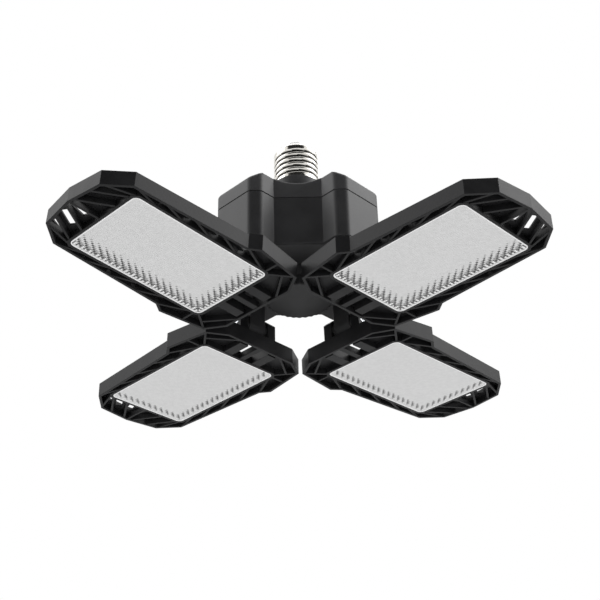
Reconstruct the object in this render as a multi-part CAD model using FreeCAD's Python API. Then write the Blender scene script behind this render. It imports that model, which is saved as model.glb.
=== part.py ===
import FreeCAD, Part
import math
import os

# Folding four-leaf garage light, in millimetres with +Z up.  The origin lies on the lamp
# axis at the lower rim of the screw shell.  Inside this file every height is measured from
# the lens plane, the flat plane that the lens faces share when all the leaves are flat,
# and each piece is moved down by SHELL_RIM_Z as it is written.
# A leaf is drawn flat along +X, with X as the distance from the lamp axis; it is then raised
# about its hinge by its angle at rest, and turned round the lamp to its place.

# --- lamp body, seen from above: a square block with an arm towards each leaf ---
ARM_END = 49.7              # lamp axis to the end face of an arm
ARM_HALF = 17.0             # half width of an arm
ARM_CHAMFER = 4.5           # upright chamfer at the end corners of an arm
FACE_DISTANCE = 37.1        # lamp axis to the flat face between two arms
HOUSING_HEIGHT = 30.9       # underside to seam
CAP_HEIGHT = 13.5           # seam to roof
BODY_WALL = 2.2
FLOOR = 2.6
ROOF = 2.4
ROOF_BEVEL_DROP = 4.0       # how far the roof slopes down at an arm end
ROOF_BEVEL_RUN = 6.7        # and over what length
SEAM_GAP = 0.4              # shadow line between housing and cap
LIP_THICK = 1.0             # lip of the housing that enters the cap
LIP_HEIGHT = 2.0
LIP_CLEARANCE = 0.1

# --- neck and screw base (26 mm Edison screw) ---
NECK_HEIGHT = 19.2          # roof to the lower rim of the screw shell
NECK_FOOT_RADIUS = 21.0
NECK_FOOT_HEIGHT = 7.0      # height of the flared foot
NECK_RADIUS = 14.8
SHELL_RADIUS = 13.15        # over the crests of the thread
SHELL_WALL = 0.6
SHELL_THREADED = 23.0       # straight part of the shell
SHOULDER_HEIGHT = 3.4
SHOULDER_RADIUS = 9.6       # where the shell ends and the insulator starts
SPIGOT_HEIGHT = 9.0         # part of the neck inside the shell
SPIGOT_CLEARANCE = 0.1
INSULATOR_HEIGHT = 4.6
INSULATOR_TOP_RADIUS = 5.4
CONTACT_HEIGHT = 2.6
CONTACT_RADIUS = 4.8
CONTACT_TOP_RADIUS = 2.4
LEAD_RADIUS = 0.9
LEAD_CLEARANCE = 0.2

# --- hinges ---
PIVOT_Z = 17.0              # hinge axis above the lens plane
PIVOT_TO_UNDERSIDE = 13.6   # hinge axis to the underside of the housing
KNUCKLE_RADIUS = 5.8
TONGUE_HALF = 5.8           # half thickness of the tongue under each arm
WASHER_THICK = 1.5
WASHER_RADIUS = 5.4
SIDE_GAP = 0.1              # on each face of a washer
LUG_THICK = 5.9
LUG_TOP_CHAMFER = 2.0
BOLT_RADIUS = 2.5
BOLT_FIT = 0.05             # radial clearance of the bolt in its holes
BOLT_HEAD_HALF = 3.9        # half across the flats of the head
BOLT_HEAD_HEIGHT = 2.8
NUT_ACROSS = 7.8            # across the flats
NUT_THICK = 2.8
HEX_FIT = 0.1

# --- hub plate and its cover, under the housing ---
HUB_RADIUS = 17.8           # to the flats of its outline
HUB_SIDES = 8
HUB_CAP_RADIUS = 18.5
HUB_CAP_THICK = 4.0
HUB_CAP_Z = 20.0            # underside of the hub cap
GRIPS = 32                  # shallow notches round the rim of the cap
GRIP_DEPTH = 0.6

# --- leaf: lens panel and what is behind it ---
LENS_LENGTH = 84.3
LENS_WIDTH = 53.1
LENS_CORNER = 3.2
LENS_THICK = 1.5
LENS_FIT = 0.1
PIVOT_TO_LENS = 9.4         # along the leaf, hinge axis to the inner edge of the lens
TRAY_RIM = 1.6              # rim of the frame round the lens
LEDGE = 1.5                 # ledge that the lens lies on
LEAF_PLATE_TOP = 5.0        # back of the leaf above the lens plane
LEAF_PLATE = 1.2
FOLD_CLEARANCE = 1.3        # back of a folded leaf to the end face of its arm
BOARD_THICK = 1.2
BOARD_FIT = 0.25
LED_COLUMNS = 4
LED_ROWS = 3
LED_LENGTH = 3.5
LED_WIDTH = 2.8
LED_HEIGHT = 0.7
LED_MARGIN_LONG = 8.4       # board end to the first row of LEDs
LED_MARGIN_SIDE = 6.4

# --- leaf: outline, as lengths past the lens edges ---
APEX_REACH = 19.7           # lens end to the tip of the shallow point
END_CORNER_REACH = 16.9
END_CORNER_INSET = 5.35     # inside the lens side
SIDE_END_REACH = 5.1
SIDE_END_OUT = 5.45         # outside the lens side
STEP_BACK = 21.8            # inner lens edge to the step in the side
STEP_OUT = 9.05
EAR_BACK = 16.2
EAR_OUT = 13.25
TIP_BEFORE = 11.6           # inner lens edge back to the mitred tip
BACK_BEFORE = 18.2          # inner lens edge back to the inner wall
BACK_SHOULDER = 6.2         # how much narrower than its reach the inner wall is
LEAF_GAP = 1.7              # between the mitred tips of two leaves
LEAF_WALL = 1.5
WALL_TOP = 8.4
EAR_WALL_TOP = 9.3

# --- leaf: ribs and vents ---
RIB_THICK = 1.2
RIB_BOTTOM = 0.2
SIDE_RIBS = 5
SIDE_RIB_SLANT = 17.0       # how far a side rib leans outwards along the leaf
CROSS_RIB_BACK = 2.6        # inner lens edge to the straight cross rib at the ear
END_RIB_OFFSETS = (0.0, 13.4, 23.5)     # where the end ribs leave the tray
END_RIB_MEETS = (0.0, 2.2, 12.8)        # where they meet the outer wall
VENT_END = 3.8              # width of the vents at the outer end
VENT_SIDE = 2.8             # width of the vents along the sides
VENT_LAND = 1.2             # metal left at the ends of a vent
CENTRE_BAR_HALF = 1.7       # bar across the hinge window
BACK_FINS = 3
FIN_TOP = 7.4
BACK_FIN_PITCH = 3.5
BACK_FIN_CLEARANCE = 2.0    # from the side of the arm to the first fin

# --- driver inside the housing ---
DRIVER_LENGTH = 60.0
DRIVER_WIDTH = 40.0
DRIVER_THICK = 1.6
STANDOFF_HEIGHT = 5.0
STANDOFF_HALF = 3.0
STANDOFF_INSET = 4.5
TRANSFORMER = (20.0, 17.0, 15.0)
TRANSFORMER_INSET = 13.0    # end of the board to the middle of the transformer
COIL_SIZE = 11.0
COIL_PROUD = 2.5            # how far the winding stands out of each side of the core
CAPACITOR_RADIUS = 5.0
CAPACITOR_HEIGHT = 16.0
CAPACITORS = 3
CAPACITOR_PITCH = 12.0
CAPACITOR_INSET = 11.5      # other end of the board to the row of capacitors
TERMINAL = (16.0, 9.0, 8.0)
NEUTRAL_OFFSET = 9.6        # neutral lead beside the lamp axis

# --- screws, pins and holes; small ones are drawn with flats, so that the mesh stays light ---
PIN_SIDES = 12
WASHER_SIDES = 8
SCREW_SIDES = 6
TIP_SIDES = 24
OVER = 1.0                  # how far a cutting tool runs past the surface that it cuts
SCREW_RADIUS = 1.5
SCREW_HEAD_RADIUS = 2.9
SCREW_HEAD = 2.2
SCREW_FIT = 0.2
THREAD_FIT = 0.05
CAP_SCREW_REACH = 38.0      # lamp axis to the screws in the arms
CAP_SCREW_LENGTH = 24.0
HEAD_RECESS = 2.6
POST_HALF = 4.2             # half width of the square screw posts
FLOOR_POST_HALF = 3.0
HUB_SCREW_CIRCLE = 12.3
HUB_SCREW_LENGTH = 9.0
FLOOR_BOSS = 4.0
SMALL_HEAD_RADIUS = 1.8
SMALL_HEAD = 0.8
BOARD_SCREW_INSET = 3.2

# --- heights and lengths that follow ---
UNDERSIDE_Z = PIVOT_Z + PIVOT_TO_UNDERSIDE
FLOOR_Z = UNDERSIDE_Z + FLOOR
SEAM_Z = UNDERSIDE_Z + HOUSING_HEIGHT
ROOF_Z = SEAM_Z + CAP_HEIGHT
SHELL_RIM_Z = ROOF_Z + NECK_HEIGHT
SHOULDER_Z = SHELL_RIM_Z + SHELL_THREADED
INSULATOR_Z = SHOULDER_Z + SHOULDER_HEIGHT
CONTACT_Z = INSULATOR_Z + INSULATOR_HEIGHT
DRIVER_Z = FLOOR_Z + STANDOFF_HEIGHT
DRIVER_TOP = DRIVER_Z + DRIVER_THICK
PLATE_Z = LEAF_PLATE_TOP - LEAF_PLATE
PLATE_MIDDLE = PLATE_Z + LEAF_PLATE / 2
BOARD_Z = PLATE_Z - BOARD_THICK
LED_Z = BOARD_Z - LED_HEIGHT
PIVOT_X = ARM_END + FOLD_CLEARANCE + LEAF_PLATE_TOP - PIVOT_Z
LENS_IN = PIVOT_X + PIVOT_TO_LENS
LENS_OUT = LENS_IN + LENS_LENGTH
LENS_HALF = LENS_WIDTH / 2
TRAY_IN = LENS_IN - TRAY_RIM
TRAY_OUT = LENS_OUT + TRAY_RIM
TRAY_HALF = LENS_HALF + TRAY_RIM
RIB_ROOT = LENS_HALF + TRAY_RIM / 2     # ribs start inside the rim of the tray
BACK_X = LENS_IN - BACK_BEFORE
TIP_X = LENS_IN - TIP_BEFORE
TIP_HALF = TIP_X - LEAF_GAP / math.sqrt(2)
STEP_X = LENS_IN + STEP_BACK
STEP_HALF = LENS_HALF + STEP_OUT
SIDE_END_X = LENS_OUT + SIDE_END_REACH
SIDE_END_HALF = LENS_HALF + SIDE_END_OUT
LUG_INNER = TONGUE_HALF + WASHER_THICK + 2 * SIDE_GAP
LUG_OUTER = LUG_INNER + LUG_THICK
HUB_Z = HUB_CAP_Z + HUB_CAP_THICK

# direction of each leaf round the lamp, and how far it is raised from flat at rest, in degrees
LEAVES = {"rear_right": 45, "rear_left": 135, "front_left": 225, "front_right": 315}
RAISED = {"rear_right": 2.0, "rear_left": 0.0, "front_left": 4.2, "front_right": 0.0}

UP = FreeCAD.Vector(0, 0, 1)
ALONG_V = FreeCAD.Vector(0, 1, 0)
FOLD_AXIS = FreeCAD.Vector(0, -1, 0)     # a turn about it raises a leaf drawn along +X
ORIGIN = FreeCAD.Vector(0, 0, 0)


def spot(x, y, z=0.0):
    return FreeCAD.Vector(x, y, z)


def inset(points, amount):
    """Move every side of a closed counter-clockwise outline inwards by one amount."""
    moved = []
    count = len(points)
    for i in range(count):
        before, here, after = points[i - 1], points[i], points[(i + 1) % count]
        ax, ay = here[0] - before[0], here[1] - before[1]
        bx, by = after[0] - here[0], after[1] - here[1]
        a_len, b_len = math.hypot(ax, ay), math.hypot(bx, by)
        ax, ay, bx, by = ax / a_len, ay / a_len, bx / b_len, by / b_len
        turn = 1 + ax * bx + ay * by
        moved.append((here[0] - amount * (ay + by) / turn, here[1] + amount * (ax + bx) / turn))
    return moved


def rounded(points, radius):
    """Closed wire through an outline, with every corner replaced by a tangent arc."""
    edges = []
    starts = []
    ends = []
    middles = []
    count = len(points)
    for i in range(count):
        here = spot(*points[i])
        back = (spot(*points[i - 1]) - here).normalize()
        ahead = (spot(*points[(i + 1) % count]) - here).normalize()
        half_angle = back.getAngle(ahead) / 2
        reach = radius / math.tan(half_angle)
        bisector = (back + ahead).normalize()
        starts.append(here + back * reach)
        ends.append(here + ahead * reach)
        middles.append(here + bisector * (radius / math.sin(half_angle) - radius))
    for i in range(count):
        edges.append(Part.Arc(starts[i], middles[i], ends[i]).toShape())
        edges.append(Part.LineSegment(ends[i], starts[(i + 1) % count]).toShape())
    return Part.Wire(edges)


def slab(wire, bottom, top):
    """Upright solid on a flat wire."""
    wire.translate(spot(0, 0, bottom))
    return Part.Face(wire).extrude(UP * (top - bottom))


def prism(points, bottom, top):
    return slab(Part.makePolygon([spot(*p) for p in points] + [spot(*points[0])]), bottom, top)


def block(x0, x1, y0, y1, z0, z1):
    return Part.makeBox(x1 - x0, y1 - y0, z1 - z0, spot(x0, y0, z0))


def flats(apothem, sides):
    """Corners of a regular outline round the origin, given from its middle to a flat."""
    reach = apothem / math.cos(math.pi / sides)
    turns = [2 * math.pi * (i + 0.5) / sides for i in range(sides)]
    return [(reach * math.cos(turn), reach * math.sin(turn)) for turn in turns]


def screw_bar(apothem, bottom, top, x=0.0, y=0.0):
    """Upright bar with flats: the shank, head or hole of a small screw."""
    return prism([(x + u, y + v) for u, v in flats(apothem, SCREW_SIDES)], bottom, top)


def pin_bar(apothem, start, end, sides=PIN_SIDES):
    """Bar with flats along a leaf's hinge axis, between two distances from the leaf's middle."""
    ring = [spot(PIVOT_X + u, start, PIVOT_Z + v) for u, v in flats(apothem, sides)]
    return Part.Face(Part.makePolygon(ring + ring[:1])).extrude(ALONG_V * (end - start))


def post(half, bottom, top, x, y=0.0):
    return block(x - half, x + half, y - half, y + half, bottom, top)


def revolved(profile):
    """Turn a closed list of (radius, height) points once round the lamp axis."""
    wire = Part.makePolygon([spot(r, 0, z) for r, z in profile + profile[:1]])
    return Part.Face(wire).revolve(ORIGIN, UP, 360)


def mirrored(points):
    """Full outline from its +Y half, for a shape that is the same on both sides of X."""
    return [(x, -y) for x, y in points] + [(x, y) for x, y in reversed(points) if y > 0]


def turned(shape, angle):
    copy = shape.copy()
    copy.rotate(ORIGIN, UP, angle)
    return copy


def round_the_axis(shape, first=45):
    return [turned(shape, first + 90 * i) for i in range(4)]


def fused(shapes):
    return shapes[0].multiFuse(shapes[1:]).removeSplitter()


def body_outline(amount=0.0):
    """Plan of the lamp body, moved inwards by an amount."""
    root = FACE_DISTANCE * math.sqrt(2) - ARM_HALF
    side = ARM_END - ARM_CHAMFER
    arm = [(root, -ARM_HALF), (side, -ARM_HALF), (ARM_END, ARM_CHAMFER - ARM_HALF),
           (ARM_END, ARM_HALF - ARM_CHAMFER), (side, ARM_HALF), (root, ARM_HALF)]
    points = []
    for angle in LEAVES.values():
        c, s = math.cos(math.radians(angle)), math.sin(math.radians(angle))
        points += [(x * c - y * s, x * s + y * c) for x, y in arm]
    return inset(points, amount)


def screw_shell():
    """Threaded shell, closed at the shoulder but for the holes of the two leads."""
    inner = SHELL_RADIUS - SHELL_WALL
    shell = revolved([(inner, SHELL_RIM_Z), (SHELL_RADIUS, SHELL_RIM_Z),
                      (SHELL_RADIUS, SHOULDER_Z), (0, SHOULDER_Z),
                      (0, SHOULDER_Z - SHELL_WALL), (inner, SHOULDER_Z - SHELL_WALL)])
    shoulder_foot = SHELL_RADIUS * math.cos(math.pi / TIP_SIDES)
    shoulder = tapered(shoulder_foot, SHOULDER_RADIUS, SHOULDER_Z, INSULATOR_Z)
    hole = screw_bar(LEAD_RADIUS + LEAD_CLEARANCE, SHOULDER_Z - OVER, INSULATOR_Z + OVER)
    return fused([shell, shoulder]).cut(hole)


def tapered(low, high, bottom, top):
    """Upright piece of the lamp's tip, many-sided, between two radii and two heights."""
    lower = [spot(x, y, bottom) for x, y in flats(low, TIP_SIDES)]
    upper = [spot(x, y, top) for x, y in flats(high, TIP_SIDES)]
    rings = [lower, upper] + [[lower[i - 1], lower[i], upper[i], upper[i - 1]]
                              for i in range(TIP_SIDES)]
    faces = [Part.Face(Part.makePolygon(ring + ring[:1])) for ring in rings]
    return Part.Solid(Part.Shell(faces))


def base_insulator():
    cone = tapered(SHOULDER_RADIUS, INSULATOR_TOP_RADIUS, INSULATOR_Z, CONTACT_Z)
    return cone.cut(screw_bar(LEAD_RADIUS + LEAD_CLEARANCE, INSULATOR_Z - OVER, CONTACT_Z + OVER))


def centre_contact():
    return tapered(CONTACT_RADIUS, CONTACT_TOP_RADIUS, CONTACT_Z, CONTACT_Z + CONTACT_HEIGHT)


def neck():
    """Flared foot, straight neck, and the spigot that the screw shell is pressed on."""
    spigot = SHELL_RADIUS - SHELL_WALL - SPIGOT_CLEARANCE
    shoulder = ROOF_Z + NECK_FOOT_HEIGHT
    top = SHELL_RIM_Z + SPIGOT_HEIGHT
    return revolved([(0, ROOF_Z - ROOF), (NECK_FOOT_RADIUS, ROOF_Z - ROOF),
                     (NECK_FOOT_RADIUS, ROOF_Z), (NECK_RADIUS, shoulder),
                     (NECK_RADIUS, SHELL_RIM_Z), (spigot, SHELL_RIM_Z), (spigot, top), (0, top)])


def roof_bevels(depth):
    """Wedges that slope the roof down at the ends of the arms, a depth below its surface."""
    far = ARM_END + OVER
    side = ARM_HALF + OVER
    slope = ROOF_BEVEL_DROP / ROOF_BEVEL_RUN
    start = ARM_END - ROOF_BEVEL_RUN
    top = ROOF_Z - depth * math.hypot(1, slope)
    profile = [spot(start, -side, top), spot(start, -side, ROOF_Z + OVER),
               spot(far, -side, ROOF_Z + OVER), spot(far, -side, top - slope * (far - start))]
    wedge = Part.Face(Part.makePolygon(profile + profile[:1])).extrude(ALONG_V * (2 * side))
    return round_the_axis(wedge)


def top_cap():
    inner_roof = ROOF_Z - ROOF
    skin = prism(body_outline(), SEAM_Z, ROOF_Z).cut(roof_bevels(0))
    hollow = prism(body_outline(BODY_WALL), SEAM_Z - OVER, inner_roof).cut(roof_bevels(ROOF))
    rebate = prism(body_outline(BODY_WALL - LIP_THICK - LIP_CLEARANCE), SEAM_Z - OVER,
                   SEAM_Z + LIP_HEIGHT)
    posts = round_the_axis(post(POST_HALF, SEAM_Z, inner_roof, CAP_SCREW_REACH))
    shape = fused([skin.cut(fused([hollow, rebate]))] + posts + [neck()])
    screw_hole = screw_bar(SCREW_RADIUS + SCREW_FIT, SEAM_Z - OVER, ROOF_Z + OVER, CAP_SCREW_REACH)
    lead_holes = [screw_bar(LEAD_RADIUS + LEAD_CLEARANCE, inner_roof - OVER,
                            SHELL_RIM_Z + SPIGOT_HEIGHT + OVER, x) for x in (0, NEUTRAL_OFFSET)]
    return shape.cut(round_the_axis(screw_hole) + lead_holes)


def driver_housing():
    rim = SEAM_Z - SEAM_GAP
    lip_top = SEAM_Z + LIP_HEIGHT
    shell = prism(body_outline(), UNDERSIDE_Z, rim)
    lip = prism(body_outline(BODY_WALL - LIP_THICK), rim - OVER, lip_top)
    hollow = prism(body_outline(BODY_WALL), FLOOR_Z, lip_top + OVER)
    posts = round_the_axis(post(POST_HALF, FLOOR_Z, SEAM_Z, CAP_SCREW_REACH))
    posts += round_the_axis(post(FLOOR_POST_HALF, FLOOR_Z, FLOOR_Z + FLOOR_BOSS,
                                 HUB_SCREW_CIRCLE), 0)
    posts += [post(STANDOFF_HALF, FLOOR_Z, DRIVER_Z, x, y) for x, y in driver_corners()]
    screw_hole = SCREW_RADIUS + THREAD_FIT
    holes = round_the_axis(screw_bar(screw_hole, cap_screw_tip() - OVER, SEAM_Z + OVER,
                                     CAP_SCREW_REACH))
    holes += round_the_axis(screw_bar(screw_hole, UNDERSIDE_Z - OVER, hub_screw_tip() + OVER,
                                      HUB_SCREW_CIRCLE), 0)
    return fused([shell.fuse(lip).cut(hollow)] + posts + round_the_axis(tongue())).cut(holes)


def cap_screw_tip():
    return ROOF_Z - CAP_SCREW_LENGTH


def hub_screw_tip():
    return HUB_Z + HEAD_RECESS + HUB_SCREW_LENGTH


def headed_screw(tip, seat, head_end, radius, head_radius, x, y=0.0):
    """Upright screw between the heights of its tip, of the seat of its head and of its end."""
    shank = screw_bar(radius, min(tip, seat), max(tip, seat), x, y)
    return shank.fuse(screw_bar(head_radius, min(seat, head_end), max(seat, head_end), x, y))


def housing_screws():
    screw = headed_screw(cap_screw_tip(), ROOF_Z, ROOF_Z + SCREW_HEAD, SCREW_RADIUS,
                         SCREW_HEAD_RADIUS, CAP_SCREW_REACH)
    return Part.makeCompound(round_the_axis(screw))


def tongue():
    """Hinge tongue that hangs from the underside of an arm, round at the hinge."""
    low = PIVOT_Z - KNUCKLE_RADIUS
    start = PIVOT_X - KNUCKLE_RADIUS
    end = PIVOT_X + KNUCKLE_RADIUS
    top = UNDERSIDE_Z + FLOOR / 2
    arc = Part.Arc(spot(start, -TONGUE_HALF, PIVOT_Z), spot(PIVOT_X, -TONGUE_HALF, low),
                   spot(end, -TONGUE_HALF, PIVOT_Z))
    corners = [spot(end, -TONGUE_HALF, PIVOT_Z), spot(end, -TONGUE_HALF, top),
               spot(start, -TONGUE_HALF, top), spot(start, -TONGUE_HALF, PIVOT_Z)]
    edges = [arc.toShape()]
    edges += [Part.LineSegment(a, b).toShape() for a, b in zip(corners, corners[1:])]
    block_shape = Part.Face(Part.Wire(edges)).extrude(ALONG_V * (2 * TONGUE_HALF))
    return block_shape.cut(pin_bar(BOLT_RADIUS + BOLT_FIT, -TONGUE_HALF - OVER, TONGUE_HALF + OVER))


def hub_plate():
    """Plate screwed under the middle of the housing; the hub cap covers its screws."""
    disc = prism(flats(HUB_RADIUS, HUB_SIDES), HUB_Z, UNDERSIDE_Z)
    recess = screw_bar(SCREW_HEAD_RADIUS + SCREW_FIT, HUB_Z - OVER, HUB_Z + HEAD_RECESS,
                       HUB_SCREW_CIRCLE)
    hole = screw_bar(SCREW_RADIUS + SCREW_FIT, HUB_Z, UNDERSIDE_Z + OVER, HUB_SCREW_CIRCLE)
    return disc.cut(round_the_axis(recess.fuse(hole), 0))


def hub_screws():
    seat = HUB_Z + HEAD_RECESS
    screw = headed_screw(hub_screw_tip(), seat, seat - SCREW_HEAD, SCREW_RADIUS,
                         SCREW_HEAD_RADIUS, HUB_SCREW_CIRCLE)
    return Part.makeCompound(round_the_axis(screw, 0))


def hub_cap():
    """Round cover with shallow notches all round its rim."""
    step = math.pi / GRIPS
    rim = []
    for i in range(2 * GRIPS):
        reach = HUB_CAP_RADIUS - GRIP_DEPTH * (i % 2)
        rim.append((reach * math.cos(i * step), reach * math.sin(i * step)))
    return prism(rim, HUB_CAP_Z, HUB_Z)


def driver_corners():
    x = DRIVER_LENGTH / 2 - STANDOFF_INSET
    y = DRIVER_WIDTH / 2 - STANDOFF_INSET
    return [(x, y), (-x, y), (-x, -y), (x, -y)]


def driver_board():
    """Circuit board on its standoffs, with the heads of its four screws."""
    board = block(-DRIVER_LENGTH / 2, DRIVER_LENGTH / 2, -DRIVER_WIDTH / 2, DRIVER_WIDTH / 2,
                  DRIVER_Z, DRIVER_TOP)
    return fused([board] + [screw_bar(SMALL_HEAD_RADIUS, DRIVER_TOP, DRIVER_TOP + SMALL_HEAD, x, y)
                            for x, y in driver_corners()])


def driver_transformer():
    """Ferrite core with the winding standing out of its window on both sides."""
    length, width, height = TRANSFORMER
    x = TRANSFORMER_INSET - DRIVER_LENGTH / 2
    core = block(x - length / 2, x + length / 2, -width / 2, width / 2,
                 DRIVER_TOP, DRIVER_TOP + height)
    reach = width / 2 + COIL_PROUD
    middle = DRIVER_TOP + height / 2
    coil = block(x - COIL_SIZE / 2, x + COIL_SIZE / 2, -reach, reach,
                 middle - COIL_SIZE / 2, middle + COIL_SIZE / 2)
    return core.fuse(coil)


def driver_capacitors():
    """A row of capacitors across the board."""
    x = DRIVER_LENGTH / 2 - CAPACITOR_INSET
    places = [CAPACITOR_PITCH * (i - (CAPACITORS - 1) / 2) for i in range(CAPACITORS)]
    return Part.makeCompound([prism([(x + u, y + v) for u, v in flats(CAPACITOR_RADIUS, PIN_SIDES)],
                                    DRIVER_TOP, DRIVER_TOP + CAPACITOR_HEIGHT) for y in places])


def terminal_block():
    length, width, height = TERMINAL
    middle = NEUTRAL_OFFSET / 2
    return block(middle - length / 2, middle + length / 2, -width / 2, width / 2,
                 DRIVER_TOP, DRIVER_TOP + height)


def supply_leads():
    """Live lead to the tip on the axis, neutral lead beside it to the inside of the shell."""
    start = DRIVER_TOP + TERMINAL[2]
    live = screw_bar(LEAD_RADIUS, start, CONTACT_Z)
    neutral = screw_bar(LEAD_RADIUS, start, SHOULDER_Z - SHELL_WALL, NEUTRAL_OFFSET)
    return Part.makeCompound([live, neutral])


def leaf_outline():
    half = [(BACK_X, BACK_X - BACK_SHOULDER), (TIP_X, TIP_HALF),
            (LENS_IN + EAR_BACK, LENS_HALF + EAR_OUT), (STEP_X, STEP_HALF),
            (SIDE_END_X, SIDE_END_HALF),
            (LENS_OUT + END_CORNER_REACH, LENS_HALF - END_CORNER_INSET),
            (LENS_OUT + APEX_REACH, 0.0)]
    return mirrored(half)


def bar(start, end, thick, bottom, top):
    """Straight upright bar between two points of the plan."""
    a, b = spot(*start), spot(*end)
    across = UP.cross((b - a).normalize()) * (thick / 2)
    wire = Part.makePolygon([a - across, b - across, b + across, a + across, a - across])
    return slab(wire, bottom, top)


def lug():
    """One hinge lug, drawn in side view and given its thickness."""
    back = PIVOT_X - KNUCKLE_RADIUS
    front = TRAY_IN + RIB_BOTTOM
    top = PIVOT_Z + KNUCKLE_RADIUS
    y = LUG_INNER
    knuckle = KNUCKLE_RADIUS * math.sin(math.radians(45))
    arc = Part.Arc(spot(PIVOT_X, y, top), spot(PIVOT_X + knuckle, y, PIVOT_Z + knuckle),
                   spot(PIVOT_X + KNUCKLE_RADIUS, y, PIVOT_Z))
    corners = [spot(PIVOT_X + KNUCKLE_RADIUS, y, PIVOT_Z), spot(front, y, WALL_TOP),
               spot(front, y, RIB_BOTTOM), spot(back, y, RIB_BOTTOM),
               spot(back, y, top - LUG_TOP_CHAMFER), spot(back + LUG_TOP_CHAMFER, y, top),
               spot(PIVOT_X, y, top)]
    edges = [arc.toShape()]
    edges += [Part.LineSegment(a, b).toShape() for a, b in zip(corners, corners[1:])]
    return Part.Face(Part.Wire(edges)).extrude(ALONG_V * LUG_THICK)


def along_side(x):
    """Half width of the leaf at a place between the step and the end of its side."""
    share = (x - STEP_X) / (SIDE_END_X - STEP_X)
    return STEP_HALF + share * (SIDE_END_HALF - STEP_HALF)


def side_rib_lines():
    pitch = (SIDE_END_X - STEP_X) / (SIDE_RIBS - 1)
    ends = [STEP_X + pitch * i for i in range(SIDE_RIBS)]
    return [((x - SIDE_RIB_SLANT, RIB_ROOT), (x, along_side(x))) for x in ends]


def end_rib_lines():
    corner_x, corner_y = LENS_OUT + END_CORNER_REACH, LENS_HALF - END_CORNER_INSET
    apex_x = LENS_OUT + APEX_REACH
    lines = []
    for start, meet in zip(END_RIB_OFFSETS, END_RIB_MEETS):
        wall_x = apex_x + (corner_x - apex_x) * meet / corner_y
        lines.append(((TRAY_OUT, start), (wall_x, meet)))
    tray_corner = (TRAY_OUT - LENS_CORNER / 2, TRAY_HALF - LENS_CORNER / 2)
    lines.append((tray_corner, (corner_x, corner_y)))
    return lines


def inner_rib_lines():
    """Ribs between the lens and the hinge end: cross rib, tip rib, short brace."""
    cross = LENS_IN + CROSS_RIB_BACK
    ear_x, ear_y = LENS_IN + EAR_BACK, LENS_HALF + EAR_OUT
    share = (cross - TIP_X) / (ear_x - TIP_X)
    cross_wall = TIP_HALF + share * (ear_y - TIP_HALF)
    tray_corner = (TRAY_IN + LENS_CORNER / 2, TRAY_HALF - LENS_CORNER / 2)
    brace = ((tray_corner[0] + TIP_X) / 2, (tray_corner[1] + TIP_HALF) / 2)
    return [((cross, RIB_ROOT), (cross, cross_wall)), (tray_corner, (TIP_X, TIP_HALF)),
            (brace, (BACK_X, LUG_OUTER))]


def vent(first, second, width):
    """Opening midway between two ribs, leaving a land at the tray and at the wall."""
    a = spot((first[0][0] + second[0][0]) / 2, (first[0][1] + second[0][1]) / 2)
    b = spot((first[1][0] + second[1][0]) / 2, (first[1][1] + second[1][1]) / 2)
    run = (b - a).normalize()
    across = abs(run.y) if first[0][1] == second[0][1] else abs(run.x)
    near = VENT_LAND / across + width / 2
    far = (VENT_LAND + LEAF_WALL) / across + width / 2
    return bar(a + run * near, b - run * far, width, PLATE_Z - OVER, LEAF_PLATE_TOP + OVER)


def with_mirror(shapes):
    plane = [shape.mirror(ORIGIN, ALONG_V) for shape in shapes]
    return shapes + plane


def leaf_ribs():
    lines = side_rib_lines() + end_rib_lines() + inner_rib_lines()
    return with_mirror([bar(a, b, RIB_THICK, RIB_BOTTOM, PLATE_MIDDLE) for a, b in lines])


def leaf_vents():
    sides = side_rib_lines()
    ends = end_rib_lines()
    vents = [vent(a, b, VENT_SIDE) for a, b in zip(sides, sides[1:])]
    vents += [vent(a, b, VENT_END) for a, b in zip(ends, ends[1:])]
    return with_mirror(vents)


def back_fins():
    """Low cooling fins on the back of the leaf, clear of the arm that it folds against."""
    first = ARM_HALF + BACK_FIN_CLEARANCE
    return with_mirror([block(TRAY_IN + LENS_CORNER, TRAY_OUT - LENS_CORNER,
                              first + BACK_FIN_PITCH * i, first + BACK_FIN_PITCH * i + RIB_THICK,
                              PLATE_MIDDLE, FIN_TOP) for i in range(BACK_FINS)])


def panel(amount, bottom, top):
    """Rounded rectangle round the lens; amount is how far it stands outside the lens."""
    x0, x1, y = LENS_IN - amount, LENS_OUT + amount, LENS_HALF + amount
    return slab(rounded([(x0, -y), (x1, -y), (x1, y), (x0, y)], LENS_CORNER + amount), bottom, top)


def tray_outline():
    """Rim round the lens; a flat across each corner keeps it as thick as along the sides."""
    cut = (LENS_CORNER + TRAY_RIM) * (2 - math.sqrt(2))
    half = [(TRAY_IN, TRAY_HALF - cut), (TRAY_IN + cut, TRAY_HALF),
            (TRAY_OUT - cut, TRAY_HALF), (TRAY_OUT, TRAY_HALF - cut)]
    return mirrored(half)


def leaf_wall():
    """Wall round the edge of the leaf, a little higher on the part next to the lamp body."""
    outline = leaf_outline()
    core = prism(inset(outline, LEAF_WALL), -OVER, EAR_WALL_TOP + OVER)
    low = prism(outline, 0, WALL_TOP).cut(core)
    reach = LENS_HALF + EAR_OUT
    high = prism(outline, WALL_TOP - OVER, EAR_WALL_TOP).cut(core)
    return low.fuse(high.common(block(0, STEP_X, -reach, reach, 0, EAR_WALL_TOP)))


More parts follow.
